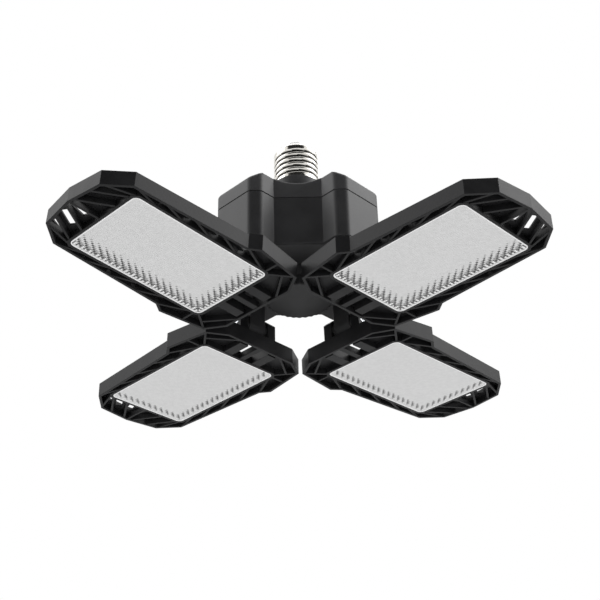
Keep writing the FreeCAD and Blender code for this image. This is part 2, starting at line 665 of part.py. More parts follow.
def leaf_frame():
    outline = leaf_outline()
    plate = prism(outline, PLATE_Z, LEAF_PLATE_TOP)
    tray = prism(tray_outline(), 0, PLATE_MIDDLE)
    back, front = BACK_X + LEAF_WALL, TRAY_IN
    window = block(back, front, -LUG_INNER, LUG_INNER, PLATE_Z - OVER, LEAF_PLATE_TOP + OVER)
    centre_bar = block(back - RIB_BOTTOM, front + RIB_BOTTOM, -CENTRE_BAR_HALF, CENTRE_BAR_HALF,
                       RIB_BOTTOM, PLATE_Z)
    ribs = fused(leaf_ribs()).common(prism(outline, 0, EAR_WALL_TOP))
    shape = fused([plate.cut(leaf_vents() + [window]), tray, ribs, leaf_wall(), centre_bar]
                  + back_fins() + with_mirror([lug()]))
    lens_seat = panel(LENS_FIT, -OVER, LENS_THICK)
    cavity = block(LENS_IN + LEDGE, LENS_OUT - LEDGE, LEDGE - LENS_HALF, LENS_HALF - LEDGE,
                   0, PLATE_Z)
    bolt_hole = pin_bar(BOLT_RADIUS + BOLT_FIT, -LUG_OUTER - OVER, LUG_OUTER + OVER)
    head_seat = pin_bar(BOLT_HEAD_HALF + HEX_FIT, LUG_OUTER - BOLT_HEAD_HEIGHT,
                        LUG_OUTER + OVER, SCREW_SIDES)
    nut_seat = pin_bar(NUT_ACROSS / 2 + HEX_FIT, -LUG_OUTER - OVER, NUT_THICK - LUG_OUTER,
                       SCREW_SIDES)
    return shape.cut([lens_seat, cavity, bolt_hole, head_seat, nut_seat])


def hinge_bolt():
    """The edges of the shank lie on the bolt's radius, so that it turns freely in its holes."""
    shank = pin_bar(BOLT_RADIUS * math.cos(math.pi / PIN_SIDES), NUT_THICK - LUG_OUTER,
                    LUG_OUTER - BOLT_HEAD_HEIGHT)
    return shank.fuse(pin_bar(BOLT_HEAD_HALF, LUG_OUTER - BOLT_HEAD_HEIGHT, LUG_OUTER,
                              SCREW_SIDES))


def hinge_nut():
    """Closed nut: the bolt ends at its inner face."""
    return pin_bar(NUT_ACROSS / 2, -LUG_OUTER, NUT_THICK - LUG_OUTER, SCREW_SIDES)


def friction_washers():
    start = TONGUE_HALF + SIDE_GAP
    end = start + WASHER_THICK
    hole = pin_bar(BOLT_RADIUS + BOLT_FIT, -end - OVER, end + OVER)
    rings = with_mirror([pin_bar(WASHER_RADIUS, start, end, WASHER_SIDES)])
    return Part.makeCompound([ring.cut(hole) for ring in rings])


def board_screw_places():
    """A screw at the middle of each short end of the board."""
    inset_x = LEDGE + BOARD_FIT + BOARD_SCREW_INSET
    return [(LENS_IN + inset_x, 0), (LENS_OUT - inset_x, 0)]


def led_board():
    """Board on the underside of the leaf plate, with the heads of its two screws."""
    inset_xy = LEDGE + BOARD_FIT
    board = block(LENS_IN + inset_xy, LENS_OUT - inset_xy, inset_xy - LENS_HALF,
                  LENS_HALF - inset_xy, BOARD_Z, PLATE_Z)
    return fused([board] + [screw_bar(SMALL_HEAD_RADIUS, BOARD_Z - SMALL_HEAD, BOARD_Z, x, y)
                            for x, y in board_screw_places()])


def led_chips():
    x0 = LENS_IN + LEDGE + BOARD_FIT + LED_MARGIN_LONG
    y0 = LEDGE + BOARD_FIT + LED_MARGIN_SIDE - LENS_HALF
    x_step = (LENS_IN + LENS_OUT - 2 * x0) / (LED_COLUMNS - 1)
    y_step = -2 * y0 / (LED_ROWS - 1)
    chips = []
    for column in range(LED_COLUMNS):
        for row in range(LED_ROWS):
            x, y = x0 + column * x_step, y0 + row * y_step
            chips.append(block(x - LED_LENGTH / 2, x + LED_LENGTH / 2, y - LED_WIDTH / 2,
                               y + LED_WIDTH / 2, LED_Z, BOARD_Z))
    return Part.makeCompound(chips)


def diffuser():
    return panel(0, 0, LENS_THICK)


def write(name, shape):
    placed = shape.copy()
    placed.translate(spot(0, 0, -SHELL_RIM_Z))
    placed.exportStep("parts/" + name + ".step")
    print(name, "solids", len(placed.Solids), "valid", placed.isValid(),
          "volume", round(placed.Volume, 1))


BODY_PIECES = {"screw_shell": screw_shell, "base_insulator": base_insulator,
               "centre_contact": centre_contact, "top_cap": top_cap,
               "driver_housing": driver_housing, "hub_plate": hub_plate, "hub_cap": hub_cap,
               "driver_board": driver_board, "driver_transformer": driver_transformer,
               "driver_capacitors": driver_capacitors, "terminal_block": terminal_block,
               "supply_leads": supply_leads, "housing_screws": housing_screws,
               "hub_screws": hub_screws}

LEAF_PIECES = {"leaf_frame": leaf_frame, "led_board": led_board, "led_chips": led_chips,
               "diffuser": diffuser, "hinge_bolt": hinge_bolt, "hinge_nut": hinge_nut,
               "friction_washers": friction_washers}

os.makedirs("parts", exist_ok=True)
for name, piece in BODY_PIECES.items():
    write(name, piece())
for name, piece in LEAF_PIECES.items():
    shape = piece()
    for leaf, azimuth in LEAVES.items():
        raised = shape.copy()
        raised.rotate(spot(PIVOT_X, 0, PIVOT_Z), FOLD_AXIS, RAISED[leaf])
        write(leaf + "_" + name, turned(raised, azimuth))
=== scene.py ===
# %% [markdown]
# # A folding garage light, dressed for a picture
# The lamp screws into an ordinary lamp holder. Under its screw base sits a black box shaped like
# a plus sign, and four flat leaves with lens panels hinge on the ends of its arms.
# The solids come packed and stay where they are. This lesson adds what solids do badly: a rolled
# thread, prisms in the lenses, soft edges, and surfaces that look like what they are made of.

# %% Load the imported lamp
import math

import bmesh
import bpy
from mathutils import Matrix, Vector


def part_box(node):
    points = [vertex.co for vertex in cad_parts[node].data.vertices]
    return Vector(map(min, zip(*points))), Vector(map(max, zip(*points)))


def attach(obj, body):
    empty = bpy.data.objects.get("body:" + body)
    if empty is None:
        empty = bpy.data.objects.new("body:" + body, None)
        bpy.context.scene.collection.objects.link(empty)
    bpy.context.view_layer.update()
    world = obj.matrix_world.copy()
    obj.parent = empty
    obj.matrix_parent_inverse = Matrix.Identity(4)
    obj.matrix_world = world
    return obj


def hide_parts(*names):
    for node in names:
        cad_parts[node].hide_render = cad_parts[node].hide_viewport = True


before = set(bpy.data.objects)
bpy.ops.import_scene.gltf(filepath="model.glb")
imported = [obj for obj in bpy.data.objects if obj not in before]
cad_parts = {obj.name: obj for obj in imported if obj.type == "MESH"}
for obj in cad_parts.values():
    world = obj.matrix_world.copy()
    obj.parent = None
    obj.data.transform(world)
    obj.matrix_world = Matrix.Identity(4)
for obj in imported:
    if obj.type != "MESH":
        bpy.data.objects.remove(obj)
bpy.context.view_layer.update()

# %% [markdown]
# ## The camera
# The photograph looks up at the lamp from below and a little to the left. The corners of the
# four lens panels in it were matched with the same corners of the model, which gives the place,
# the tilt and the focal length of the camera. It is set first, so that each piece can be
# compared with the photograph as soon as it is made.

# %% Place the camera
MM = 0.001
IMAGE_WIDTH = 600
FOCAL_PIXELS = 1170.15
SENSOR_WIDTH = 36.0
CAMERA_PLACE = Vector((-6.57, -548.54, -412.36)) * MM
YAW, PITCH, ROLL = -0.718, 31.547, 1.426


def camera_matrix():
    """Turn a camera that looks along +Y by its yaw, pitch and roll, and move it to its place."""
    turn = Matrix.Rotation(math.radians(YAW), 3, "Z")
    turn = turn @ Matrix.Rotation(math.radians(PITCH), 3, "X")
    turn = turn @ Matrix.Rotation(math.radians(ROLL), 3, "Y")
    right, ahead, up = turn.col
    matrix = Matrix((right, up, -ahead)).transposed().to_4x4()
    matrix.translation = CAMERA_PLACE
    return matrix


camera = bpy.data.objects.new("camera", bpy.data.cameras.new("camera"))
bpy.context.scene.collection.objects.link(camera)
bpy.context.scene.camera = camera
camera.matrix_world = camera_matrix()
camera.data.sensor_width = SENSOR_WIDTH
camera.data.lens = FOCAL_PIXELS / IMAGE_WIDTH * SENSOR_WIDTH
print("focal length in mm:", round(camera.data.lens, 1))

# %% [markdown]
# ## The studio
# The picture was taken on white, with a large soft lamp on each side. The lamp hangs, so the
# pale floor lies well below it. The world lights everything at a plain level, and Light Path
# shows it as pure white to the camera and to mirror-like surfaces without adding any light.
# A photographed sky could do this too, but its lights couldn't be moved one by one.

# %% World and colour
scene = bpy.context.scene
scene.view_settings.view_transform = "Standard"
AMBIENT = 0.72


def add(tree, kind, inputs=None, **settings):
    """Add one node. Inputs are values or the outputs of other nodes; settings are its own."""
    node = tree.nodes.new(kind)
    for name, value in settings.items():
        setattr(node, name, value)
    for name, value in (inputs or {}).items():
        if isinstance(value, bpy.types.NodeSocket):
            tree.links.new(value, node.inputs[name])
        else:
            node.inputs[name].default_value = value
    return node


def srgb(code, alpha=1.0):
    """Linear colour of a hex code."""
    parts = [int(code[i:i + 2], 16) / 255 for i in (1, 3, 5)]
    linear = [p / 12.92 if p <= 0.04045 else ((p + 0.055) / 1.055) ** 2.4 for p in parts]
    return (*linear, alpha)


world = bpy.data.worlds.new("studio")
world.use_nodes = True
scene.world = world
tree = world.node_tree
tree.nodes.clear()
ray = add(tree, "ShaderNodeLightPath")
mirror = add(tree, "ShaderNodeMath", {0: ray.outputs["Is Glossy Ray"],
                                      1: ray.outputs["Is Transmission Ray"]}, operation="MAXIMUM")
shown = add(tree, "ShaderNodeMath", {0: ray.outputs["Is Camera Ray"], 1: mirror.outputs[0]},
            operation="MAXIMUM")
light = add(tree, "ShaderNodeBackground", {"Color": (1, 1, 1, 1), "Strength": AMBIENT})
white = add(tree, "ShaderNodeBackground", {"Color": (1, 1, 1, 1), "Strength": 1.0})
mixed = add(tree, "ShaderNodeMixShader", {0: shown.outputs[0], 1: light.outputs[0],
                                          2: white.outputs[0]})
add(tree, "ShaderNodeOutputWorld", {"Surface": mixed.outputs[0]})
print("world lights at", AMBIENT)

# %% [markdown]
# ## A way to make materials
# Each finish is a Principled shader with a few procedural nodes in front of it. Patterns use
# object coordinates, in metres, so one number turns a real size in millimetres into a scale.

# %% Start a finish


def per_mm(size):
    """Pattern scale for a feature of a size in millimetres."""
    return 1.0 / (size * MM)


def new_finish(name, roughness, metallic=0.0, **constants):
    """An empty material with its Principled shader; constants sit on the shader itself."""
    made = bpy.data.materials.new(name)
    made.use_nodes = True
    nodes = made.node_tree
    nodes.nodes.clear()
    inputs = {"Roughness": roughness, "Metallic": metallic}
    inputs.update({key.replace("_", " "): value for key, value in constants.items()})
    shader = add(nodes, "ShaderNodeBsdfPrincipled", inputs)
    add(nodes, "ShaderNodeOutputMaterial", {"Surface": shader.outputs[0]})
    place = add(nodes, "ShaderNodeTexCoord").outputs["Object"]
    print("finish:", name)
    return made, nodes, shader, place


# %% [markdown]
# Real surfaces are never quite even. One kind of noise, at different sizes, can drift a colour,
# change the gloss or raise the surface, so a few small helpers serve every finish here.

# %% Helpers for patterns


def cloudy(nodes, place, size, detail=3.0, stretch=None):
    """Soft noise with patches of a size in millimetres, longer along the axes in stretch."""
    if stretch:
        place = add(nodes, "ShaderNodeMapping", {"Vector": place, "Scale": stretch}).outputs[0]
    return add(nodes, "ShaderNodeTexNoise", {"Vector": place, "Scale": per_mm(size),
                                             "Detail": detail}).outputs["Fac"]


def between(nodes, factor, low, high):
    """Colour that runs from one hex code to another with a factor."""
    ramp = add(nodes, "ShaderNodeValToRGB", {"Fac": factor})
    ramp.color_ramp.elements[0].position = 0.35
    ramp.color_ramp.elements[1].position = 0.65
    ramp.color_ramp.elements[0].color = srgb(low)
    ramp.color_ramp.elements[1].color = srgb(high)
    return ramp.outputs["Color"]


def spread(nodes, factor, low, high):
    """Number that runs from low to high with a factor."""
    return add(nodes, "ShaderNodeMapRange", {"Value": factor, "To Min": low,
                                             "To Max": high}).outputs["Result"]


def relief(nodes, height, depth, under=None):
    """Bump of a depth in millimetres."""
    inputs = {"Height": height, "Distance": depth * MM, "Strength": 1.0}
    if under is not None:
        inputs["Normal"] = under
    return add(nodes, "ShaderNodeBump", inputs).outputs["Normal"]


def wire(nodes, shader, **sockets):
    """Lead outputs into the Principled shader."""
    for name, output in sockets.items():
        nodes.links.new(output, shader.inputs[name.replace("_", " ")])


print("scale of a 0.5 mm grain:", per_mm(0.5))

# %% [markdown]
# ## Lamps
# The end faces of the box and the outer walls of the leaves are the lightest black in the
# photograph. A ray from the camera leaves those faces sideways and upwards, so that is where
# the two soft boxes hang. The front of the box mirrors what hangs above the camera, where it is
# dark: a black card, which the camera itself can't see, stands in for that.

# %% Hang the lamps and the card


def aim(thing, place, target=(0.0, 0.0, -0.05)):
    """Put a lamp or a card at a place in metres and turn its face to the target."""
    thing.location = place
    thing.rotation_mode = "QUATERNION"
    thing.rotation_quaternion = (Vector(target) - Vector(place)).to_track_quat("-Z", "Y")
    bpy.context.scene.collection.objects.link(thing)


def soft_box(name, place, size, power):
    """Square soft box with its side in metres and its power in watts."""
    lamp = bpy.data.lights.new(name, "AREA")
    lamp.size = size
    lamp.energy = power
    aim(bpy.data.objects.new(name, lamp), place)


soft_box("soft_box_left", place=(-1.15, -0.05, 0.8), size=0.9, power=7.0)
soft_box("soft_box_right", place=(1.15, -0.05, 0.8), size=0.9, power=12.0)
soft_box("soft_box_back", place=(0.2, 1.2, 1.1), size=0.8, power=6.0)


def hang_card(name, place, width, height):
    """Black felt card that darkens what faces it, and that the camera doesn't see."""
    felt, nodes, shader, where = new_finish(name + "_felt", 0.95)
    nap = cloudy(nodes, where, 8.0)
    wire(nodes, shader, Base_Color=between(nodes, nap, "#050505", "#0B0B0B"))
    sheet = bmesh.new()
    bmesh.ops.create_grid(sheet, x_segments=4, y_segments=4, size=0.5,
                          matrix=Matrix.Diagonal((width, height, 1, 1)))
    data = bpy.data.meshes.new(name)
    sheet.to_mesh(data)
    sheet.free()
    data.materials.append(felt)
    card = bpy.data.objects.new(name, data)
    aim(card, place)
    card.visible_camera = False


hang_card("card_front", place=(0.0, -0.9, 0.75), width=1.5, height=1.2)

# %% [markdown]
# ## Black moulded ABS
# The box and its caps are injection-moulded ABS from a spark-eroded mould: a fine even grain
# that spreads every highlight. ABS has an index of about 1.54 and this grain makes it satin.
# The real grain is near 0.1 mm; it is drawn at 0.5 mm, because a finer one can't be seen here.
# The upper half of the box is a little lighter than the lower half, and the cover under the hub a
# little darker: painted light on the upper moulding and painted shade on the cover, as three shades
# of one plastic.

# %% Moulded ABS in three shades, two of them with painted light and painted shade


def moulded_abs(name, low, high):
    """One shade of the plastic, with colours that drift between two hex codes."""
    made, nodes, shader, place = new_finish(name, 0.42, IOR=1.54, Specular_IOR_Level=0.2)
    grain = cloudy(nodes, place, 0.5)
    drift = cloudy(nodes, place, 14.0)
    wire(nodes, shader, Base_Color=between(nodes, drift, low, high),
         Roughness=spread(nodes, drift, 0.38, 0.48), Normal=relief(nodes, grain, 0.012))
    return made


abs_black = moulded_abs("moulded_abs_black", "#2D2D2E", "#343435")
# the cap's lighter tone is painted light, and the hub cover's darker tone is painted shade
abs_cap_painted_light = moulded_abs("moulded_abs_cap_painted_light", "#3A3A3B", "#414142")
abs_hub_painted_shade = moulded_abs("moulded_abs_hub_painted_shade", "#1F1F20", "#252526")
print("shades of ABS:", [m.name for m in (abs_black, abs_cap_painted_light, abs_hub_painted_shade)])

# %% [markdown]
# ## Black powder coat on die-cast aluminium
# The leaves are cast, and coated with baked black powder. It flows a little as it melts, which
# leaves a faint orange peel of 1 to 2 mm. Cast and coated edges are a little round and catch the
# light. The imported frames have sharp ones, and they stay as packed, so the bevel node turns the
# shading near an edge as a radius of 0.35 mm would.

# %% Powder coat
powder_coat, nodes, shader, place = new_finish("powder_coated_die_cast", 0.42, IOR=1.5,
                                               Specular_IOR_Level=0.15)
peel = cloudy(nodes, place, 1.6, detail=1.0)
dust = cloudy(nodes, place, 9.0)
soft_corner = add(nodes, "ShaderNodeBevel", {"Radius": 0.35 * MM}, samples=4).outputs["Normal"]
wire(nodes, shader, Base_Color=between(nodes, dust, "#1A1A1B", "#222223"),
     Roughness=spread(nodes, dust, 0.38, 0.5),
     Normal=relief(nodes, peel, 0.02, under=soft_corner))

# %% [markdown]
# ## Bright nickel plate
# The screw shell is rolled from thin brass and nickel plated. Nickel is a warm, slightly
# yellow-grey metal. Rolling leaves faint rings round the shell, which blur it only a little:
# noise stretched along X and Y makes them, in the gloss and in the relief.

# %% Nickel plate
nickel_plate, nodes, shader, place = new_finish("bright_nickel_plate", 0.12, 1.0)
rings = cloudy(nodes, place, 1.2, stretch=(0.1, 0.1, 1.0))
stain = cloudy(nodes, place, 5.0)
wire(nodes, shader, Base_Color=between(nodes, stain, "#DBD8D1", "#E6E4DE"),
     Roughness=spread(nodes, rings, 0.07, 0.18), Normal=relief(nodes, rings, 0.01))

# %% [markdown]
# A dark band of metal is painted along each root of the thread: painted shade and a painted dark
# reflection in the hollows.

# %% Painted shade in the roots
nickel_painted_root_shade, nodes, shader, place = new_finish("nickel_with_painted_root_shade", 0.3, 1.0)
wire(nodes, shader, Base_Color=between(nodes, cloudy(nodes, place, 0.9), "#1D1C1B", "#353432"))

# %% [markdown]
# ## Insulator, solder and steel
# The cone between shell and tip is pressed opal glass, smooth and almost white. The tip is a
# drop of tin solder on the lead. Screws, bolts and nuts are zinc-plated steel with a fine turned
# finish. All three are small and plain, so a little unevenness is all they need.

# %% Opal glass
opal_glass, nodes, shader, place = new_finish("pressed_opal_glass", 0.16, IOR=1.5)
wire(nodes, shader, Base_Color=between(nodes, cloudy(nodes, place, 3.0), "#BDBDBA", "#CACAC7"),
     Normal=relief(nodes, cloudy(nodes, place, 2.5), 0.02))

# %% Tin solder
tin_solder, nodes, shader, place = new_finish("tin_solder", 0.24, 1.0)
frost = cloudy(nodes, place, 0.9)
wire(nodes, shader, Base_Color=between(nodes, frost, "#A9AAAC", "#C2C3C4"),
     Roughness=spread(nodes, frost, 0.16, 0.34), Normal=relief(nodes, frost, 0.03))

# %% Zinc-plated steel
zinc_steel, nodes, shader, place = new_finish("zinc_plated_steel", 0.3, 1.0)
turned = cloudy(nodes, place, 0.6)
wire(nodes, shader, Base_Color=between(nodes, cloudy(nodes, place, 2.0), "#A9ADB2", "#C4C6C8"),
     Roughness=spread(nodes, turned, 0.24, 0.4), Normal=relief(nodes, turned, 0.008))

# %% [markdown]
# ## Frosted polycarbonate
# The lens is moulded polycarbonate, index 1.58, slightly milky so that the LEDs don't show.
# It could let light through, but this lamp is off, and a pale plastic looks much the same.
# Its border is smooth and bright. Next to the black frame the prisms would show the frame's dark
# wall through one of their sides; that is painted, as a painted reflection of the wall in two
# darker shades of the same plastic.

# %% Polycarbonate in four shades, two of them a painted reflection


def polycarbonate(name, low, high, roughness):
    """One shade of the lens plastic."""
    made, nodes, shader, place = new_finish(name, roughness, IOR=1.58, Specular_IOR_Level=0.3)
    milk = cloudy(nodes, place, 2.2)
    wire(nodes, shader, Base_Color=between(nodes, milk, low, high),
         Roughness=spread(nodes, milk, roughness - 0.05, roughness + 0.05))
    return made


lens_border = polycarbonate("polycarbonate_border", "#FAFAFA", "#FEFEFE", 0.3)
lens_field = polycarbonate("polycarbonate_prisms", "#D8D8D8", "#DEDEDE", 0.45)
lens_painted_dim = polycarbonate("polycarbonate_prisms_painted_dim", "#9A9A9A", "#A6A6A6", 0.4)
lens_painted_dark = polycarbonate("polycarbonate_prisms_painted_dark", "#3E3E3E", "#4C4C4C", 0.35)
print("finishes so far:", len(bpy.data.materials))

# %% [markdown]
# ## What can't be seen from outside
# Inside the box are a circuit board, a ferrite transformer, sleeved capacitors and a terminal
# block, and behind each lens a white board with its LEDs. They keep the solids they were packed
# with, and each gets the finish of the real part.

# %% Finishes of the inner parts


def simple_finish(name, low, high, roughness, size, depth, ior=1.5):
    """A finish with patches of two colours; their size and the depth are in millimetres."""
    made, nodes, shader, place = new_finish(name, roughness, IOR=ior)
    patches = cloudy(nodes, place, size)
    wire(nodes, shader, Base_Color=between(nodes, patches, low, high),
         Roughness=spread(nodes, patches, roughness - 0.06, roughness + 0.06),
         Normal=relief(nodes, cloudy(nodes, place, size / 4), depth))
    return made


solder_mask = simple_finish("green_solder_mask", "#1E5B38", "#2A6B44", 0.3, 3.0, 0.01)
white_mask = simple_finish("white_solder_mask", "#E6E6E2", "#F2F2EF", 0.35, 4.0, 0.01)
phosphor = simple_finish("phosphor_silicone", "#E2C24A", "#EACD63", 0.3, 0.8, 0.02, ior=1.41)
ferrite = simple_finish("sintered_ferrite", "#2B2A2B", "#39383A", 0.6, 1.5, 0.03, ior=2.0)
sleeve = simple_finish("shrunk_pvc_sleeve", "#1C2A4A", "#24345A", 0.32, 3.0, 0.02)
polyamide = simple_finish("moulded_polyamide", "#3E7A4C", "#4A8858", 0.42, 3.0, 0.02, ior=1.53)
silicone = simple_finish("silicone_lead_sleeve", "#B5B0A6", "#C6C1B7", 0.5, 2.0, 0.02, ior=1.41)
black_acetal = simple_finish("moulded_black_acetal", "#1A1A1A", "#222222", 0.35, 1.5, 0.01,
                             ior=1.48)
print("finishes:", len(bpy.data.materials))

# %% [markdown]
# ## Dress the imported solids
# A node's name says what it is, so its last words choose its finish. The solids' shapes stay.

# %% Give every node its finish
NODE_FINISHES = {
    "screw_shell": nickel_plate, "base_insulator": opal_glass, "centre_contact": tin_solder,
    "top_cap": abs_cap_painted_light, "driver_housing": abs_black, "hub_plate": abs_black,
    "hub_cap": abs_hub_painted_shade, "driver_board": solder_mask, "driver_transformer": ferrite,
    "driver_capacitors": sleeve, "terminal_block": polyamide, "supply_leads": silicone,
    "housing_screws": zinc_steel, "hub_screws": zinc_steel, "leaf_frame": powder_coat,
    "led_board": white_mask, "led_chips": phosphor, "diffuser": lens_field,
    "hinge_bolt": zinc_steel, "hinge_nut": zinc_steel, "friction_washers": black_acetal}

for node_name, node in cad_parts.items():
    finish = next(NODE_FINISHES[key] for key in NODE_FINISHES if node_name.endswith(key))
    for material_slot in node.material_slots:
        material_slot.material = finish
print("dressed nodes:", len(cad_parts))

# %% [markdown]
# ## Sizes that the new pieces share
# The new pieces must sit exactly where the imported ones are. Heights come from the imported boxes.
# The plan of the box and the places of the leaves are the lamp's driving dimensions.

# %% Read heights from the frame


def span(node_name):
    """Lowest and highest corner of a node at rest, in millimetres."""
    low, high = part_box(node_name)
    return Vector(low) / MM, Vector(high) / MM


SEAM = span("top_cap")[0].z
LIP_TOP = span("driver_housing")[1].z
UNDERSIDE = span("hub_plate")[1].z
SHELL_LOW = span("screw_shell")[0].z
GLASS_TOP = span("base_insulator")[1].z
TIP_TOP = span("centre_contact")[1].z
SHELL_RADIUS = span("screw_shell")[1].x
SCREW_TOP = span("housing_screws")[1].z
LENS_PLANE = span("rear_left_diffuser")[0].z
SCREW_HEAD = 2.2            # height of a screw's head above the roof
ROOF = SCREW_TOP - SCREW_HEAD
FLOOR_THICK = 2.6
print("seam, roof and underside at", round(SEAM, 1), round(ROOF, 1), round(UNDERSIDE, 1))

# %% [markdown]
# A leaf is easiest to draw flat along +X. One matrix then lifts it about its hinge, as far as the
# photograph shows it raised, and turns it to its side of the box.

# %% Place of each leaf
PIVOT = Vector((39.0, 0.0, 17.0))   # hinge of a leaf that lies along +X on the lens plane
# direction of each leaf and how far it is raised in the photograph, in degrees
LEAVES = {"rear_right": (45, 2.0), "rear_left": (135, 0.0),
          "front_left": (225, 4.2), "front_right": (315, 0.0)}


def leaf_place(leaf):
    """Matrix that takes a piece drawn flat along +X, above the lens plane, to its leaf."""
    azimuth, raised = LEAVES[leaf]
    fold = Matrix.Rotation(math.radians(raised), 4, Vector((0, -1, 0)))
    there = Matrix.Translation(PIVOT)
    turn = Matrix.Rotation(math.radians(azimuth), 4, "Z")
    return turn @ Matrix.Translation((0, 0, LENS_PLANE)) @ there @ fold @ there.inverted()


def node_of(leaf, kind):
    """Name of a leaf's node of one kind."""
    return next(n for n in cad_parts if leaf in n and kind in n)


print("hinge of the front left leaf at", leaf_place("front_left") @ PIVOT)

# %% [markdown]
# ## Rings
# Most pieces of this lamp are a closed outline that changes as it climbs: the plan of the box,
# the circle of the neck, a hexagon. A stack of rings with equally many points, joined by quads,
# makes all of them, with every soft edge where a mould would have it. A bevel modifier could
# round a plain block, but rings also carry the roof's slopes and the hollow curve of the neck.

# %% Join rings


def loft(mesh, rings, endless=False):
    """Join rings by quads; fill both ends, or join the last ring to the first."""
    rows = [[mesh.verts.new(point) for point in ring] for ring in rings]
    count = len(rows[0])
    pairs = list(zip(rows, rows[1:])) + ([(rows[-1], rows[0])] if endless else [])
    for lower, upper in pairs:
        for i in range(count):
            j = (i + 1) % count
            mesh.faces.new((lower[i], lower[j], upper[j], upper[i]))
    if not endless:
        mesh.faces.new(rows[0][::-1])
        mesh.faces.new(rows[-1])


def circle(radius, height, count=96, x=0.0, y=0.0):
    """Ring of points round an upright axis."""
    turns = [2 * math.pi * i / count for i in range(count)]
    return [Vector((x + radius * math.cos(t), y + radius * math.sin(t), height)) for t in turns]


def lathe(mesh, profile, count=96, x=0.0, y=0.0, endless=False):
    """Rings round an upright axis, from a list of radius and height."""
    loft(mesh, [circle(r, z, count, x, y) for r, z in profile], endless)


print("a circle of 4 points:", [p.to_tuple(1) for p in circle(1, 0, 4)])

# %% [markdown]
# A moulded outline has round corners, and a rounded edge is a set of outlines that shrink as they
# climb. Moving every side inwards first, and rounding after that, keeps the corners concentric.

# %% Shrink and round an outline


def inset_points(points, amount):
    """Move every side of a counter-clockwise outline inwards."""
    moved = []
    for i, here in enumerate(points):
        before = (here - points[i - 1]).normalized()
        after = (points[(i + 1) % len(points)] - here).normalized()
        shift = Vector((-(before.y + after.y), before.x + after.x)) / (1 + before.dot(after))
        moved.append(here + shift * amount)
    return moved


def soften(points, amount=0.0, outer=4.0, inner=0.8, steps=4):
    """An outline moved inwards, with round corners that stay concentric."""
    moved = inset_points(points, amount)
    ring = []
    for i, here in enumerate(moved):
        back = (moved[i - 1] - here).normalized()
        ahead = (moved[(i + 1) % len(moved)] - here).normalized()
        bend = ahead.x * back.y - ahead.y * back.x
        if abs(bend) < 0.001:
            ring.append(here)
            continue
        radius = max(outer - amount, 0.05) if bend > 0 else inner + amount
        half = back.angle(ahead) / 2
        start = here + back * radius / math.tan(half)
        end = here + ahead * radius / math.tan(half)
        middle = here + (back + ahead).normalized() * radius / math.sin(half)
        for step in range(steps + 1):
            share = step / steps
            spoke = (start - middle) * (1 - share) + (end - middle) * share
            ring.append(middle + spoke.normalized() * radius)
    return ring


square = [Vector(p) for p in [(0, 0), (10, 0), (10, 10), (0, 10)]]
print("points of a rounded square:", len(soften(square)))

# %% [markdown]
# A quarter circle says how far each outline of a rounded edge moves in and up. With one at both
# ends, a stack of outlines is a small part with all its edges soft: a bolt's head or a tongue.

# %% Round the edges


def quarter(radius, steps=4):
    """Inset and height of points on a rounded edge, from the wall to the face."""
    turns = [math.pi / 2 * i / steps for i in range(steps + 1)]
    return [(radius * (1 - math.cos(t)), radius * math.sin(t)) for t in turns]


def soft_prism(mesh, outline, low, high, edge=0.3, corner=0.3, place=Matrix()):
    """Upright prism whose edges and corners are all rounded."""
    rings = [(amount, low + edge - rise) for amount, rise in reversed(quarter(edge))]
    rings += [(amount, high - edge + rise) for amount, rise in quarter(edge)]
    loft(mesh, [[place @ Vector((p.x, p.y, height)) for p in soften(outline, amount, corner)]
                for amount, height in rings])


print("a rounded edge of 1.2 mm:", [(round(a, 2), round(z, 2)) for a, z in quarter(1.2)])

# %% [markdown]
# ## Turning rings into a piece
# A piece is scaled from millimetres to metres, shaded smooth with sharp edges where faces meet
# steeply, and told which body it rides on; the imported nodes it stands for are hidden.

# %% Helper that finishes a piece
SHARP_ANGLE = math.radians(38)
print("sharp above", round(math.degrees(SHARP_ANGLE)), "degrees")


def make_piece(name, mesh, finishes, body, stands_for=(), place=Matrix()):
    """Turn a bmesh in millimetres into a piece on a body."""
    bmesh.ops.recalc_face_normals(mesh, faces=mesh.faces)
    mesh.transform(Matrix.Scale(MM, 4) @ place)
    for face in mesh.faces:
        face.smooth = True
    data = bpy.data.meshes.new(name)
    mesh.to_mesh(data)
    mesh.free()
    data.set_sharp_from_angle(angle=SHARP_ANGLE)
    for finish in finishes:
        data.materials.append(finish)
    piece = bpy.data.objects.new(name, data)
    bpy.context.scene.collection.objects.link(piece)
    even = piece.modifiers.new("even_shading", "WEIGHTED_NORMAL")
    even.keep_sharp = True
    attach(piece, body)
    if stands_for:
        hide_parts(*stands_for)
    print(name, len(data.polygons), "faces")
    return piece

# %% [markdown]
# ## Plan of the box
# Seen from above the box is a square with an arm towards each leaf. The arms' end corners are
# chamfered, and every upright edge is a little round, because a mould can't hold a sharp one.
# Extra points on the straight stretches carry the roof's slopes and scoops later on.

# %% Outline of the box
ARM_END, ARM_HALF, ARM_CHAMFER = 49.7, 17.0, 4.5
FACE_DISTANCE = 37.1        # from the axis to the face between two arms
SLOPE_RUN, SLOPE_DROP = 6.7, 4.0
WALL = 2.2
SIDE_POINTS, END_POINTS, FACE_POINTS = 2, 3, 13
ARM_ROOT = FACE_DISTANCE * math.sqrt(2) - ARM_HALF
SLOPE_START = ARM_END - SLOPE_RUN


def fill_in(start, end, count):
    """Points between two corners."""
    return [start.lerp(end, (i + 1) / (count + 1)) for i in range(count)]


def at_height(points, height):
    """A flat outline as a ring at one height."""
    return [Vector((p.x, p.y, height)) for p in points]


